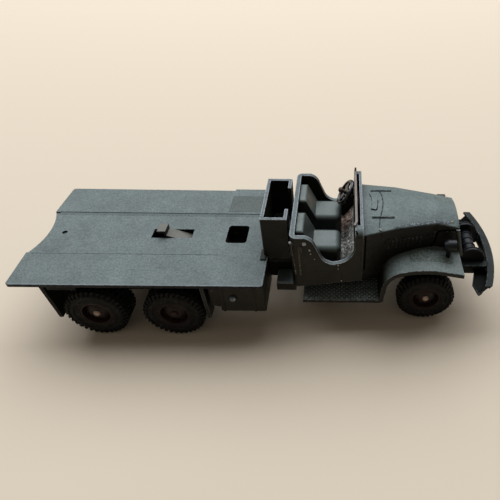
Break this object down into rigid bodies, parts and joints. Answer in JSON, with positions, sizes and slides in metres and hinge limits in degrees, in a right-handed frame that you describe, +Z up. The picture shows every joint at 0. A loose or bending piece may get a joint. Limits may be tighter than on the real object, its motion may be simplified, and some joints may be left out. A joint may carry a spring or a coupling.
{
  "type": "toy military cargo truck",
  "caption": "Die-cast toy of a six-wheeled military truck with an open cab, bare cargo deck, winch and free-rolling lugged wheels.",
  "frame": {"origin": "on the ground under the middle of the toy's length and width", "axes": "+X forwards to the bumper, +Y to the truck's left, +Z up"},
  "size_m": [0.1612, 0.0536, 0.0434],
  "materials": {
    "body_paint": "satin, worn at the edges",
    "deck_paint": "satin, dusty",
    "seat_plastic": "smooth moulded",
    "black_plastic": "moulded",
    "bare_metal": "worn bare",
    "axle_steel": "hammered end",
    "hub_paint": "dull",
    "tyre_rubber": "dusty",
    "cab_inside": "rough, dirty"
  },
  "bodies": {
    "chassis": {"frame": "body_paint", "front_springs": "body_paint", "bogie_springs": "body_paint", "wings_and_boards": "body_paint", "bonnet": "body_paint", "cab": "body_paint", "cab_floor": "cab_inside", "windscreen_rail": "bare_metal", "seats": "seat_plastic", "steering_wheel": "black_plastic", "steering_column": "black_plastic", "radiator_grille": "body_paint", "grille_guard": "body_paint", "winch": "black_plastic", "bumper": "body_paint", "deck": "deck_paint", "deck_sills": "body_paint", "latch_spring": "bare_metal", "spare_wheel_carrier": "body_paint", "fuel_tank": "body_paint", "tool_box": "body_paint", "step_box_right": "body_paint", "step_box_left": "body_paint", "headlamp_right": "black_plastic", "headlamp_left": "black_plastic", "mud_flap_front_right": "body_paint", "mud_flap_front_left": "body_paint", "mud_flap_rear_right": "body_paint", "mud_flap_rear_left": "body_paint", "front_axle": "axle_steel", "middle_axle": "axle_steel", "rear_axle": "axle_steel"},
    "wheel_front_right": {"tyre_front_right": "tyre_rubber", "hub_front_right": "hub_paint"},
    "wheel_front_left": {"tyre_front_left": "tyre_rubber", "hub_front_left": "hub_paint"},
    "wheel_middle_right": {"tyre_middle_right": "tyre_rubber", "hub_middle_right": "hub_paint"},
    "wheel_middle_left": {"tyre_middle_left": "tyre_rubber", "hub_middle_left": "hub_paint"},
    "wheel_rear_right": {"tyre_rear_right": "tyre_rubber", "hub_rear_right": "hub_paint"},
    "wheel_rear_left": {"tyre_rear_left": "tyre_rubber", "hub_rear_left": "hub_paint"}
  },
  "joints": [
    {"name": "wheel_front_right_spin", "type": "hinge", "parent": "chassis", "child": "wheel_front_right", "pos_m": [0.0558, -0.0151, 0.0103], "axis": [0, 1, 0], "continuous": true},
    {"name": "wheel_front_left_spin", "type": "hinge", "parent": "chassis", "child": "wheel_front_left", "pos_m": [0.0558, 0.0141, 0.0103], "axis": [0, 1, 0], "continuous": true},
    {"name": "wheel_middle_right_spin", "type": "hinge", "parent": "chassis", "child": "wheel_middle_right", "pos_m": [-0.0307, -0.0231, 0.0103], "axis": [0, 1, 0], "continuous": true},
    {"name": "wheel_middle_left_spin", "type": "hinge", "parent": "chassis", "child": "wheel_middle_left", "pos_m": [-0.0307, 0.0221, 0.0103], "axis": [0, 1, 0], "continuous": true},
    {"name": "wheel_rear_right_spin", "type": "hinge", "parent": "chassis", "child": "wheel_rear_right", "pos_m": [-0.0567, -0.0231, 0.0103], "axis": [0, 1, 0], "continuous": true},
    {"name": "wheel_rear_left_spin", "type": "hinge", "parent": "chassis", "child": "wheel_rear_left", "pos_m": [-0.0567, 0.0221, 0.0103], "axis": [0, 1, 0], "continuous": true}
  ]
}
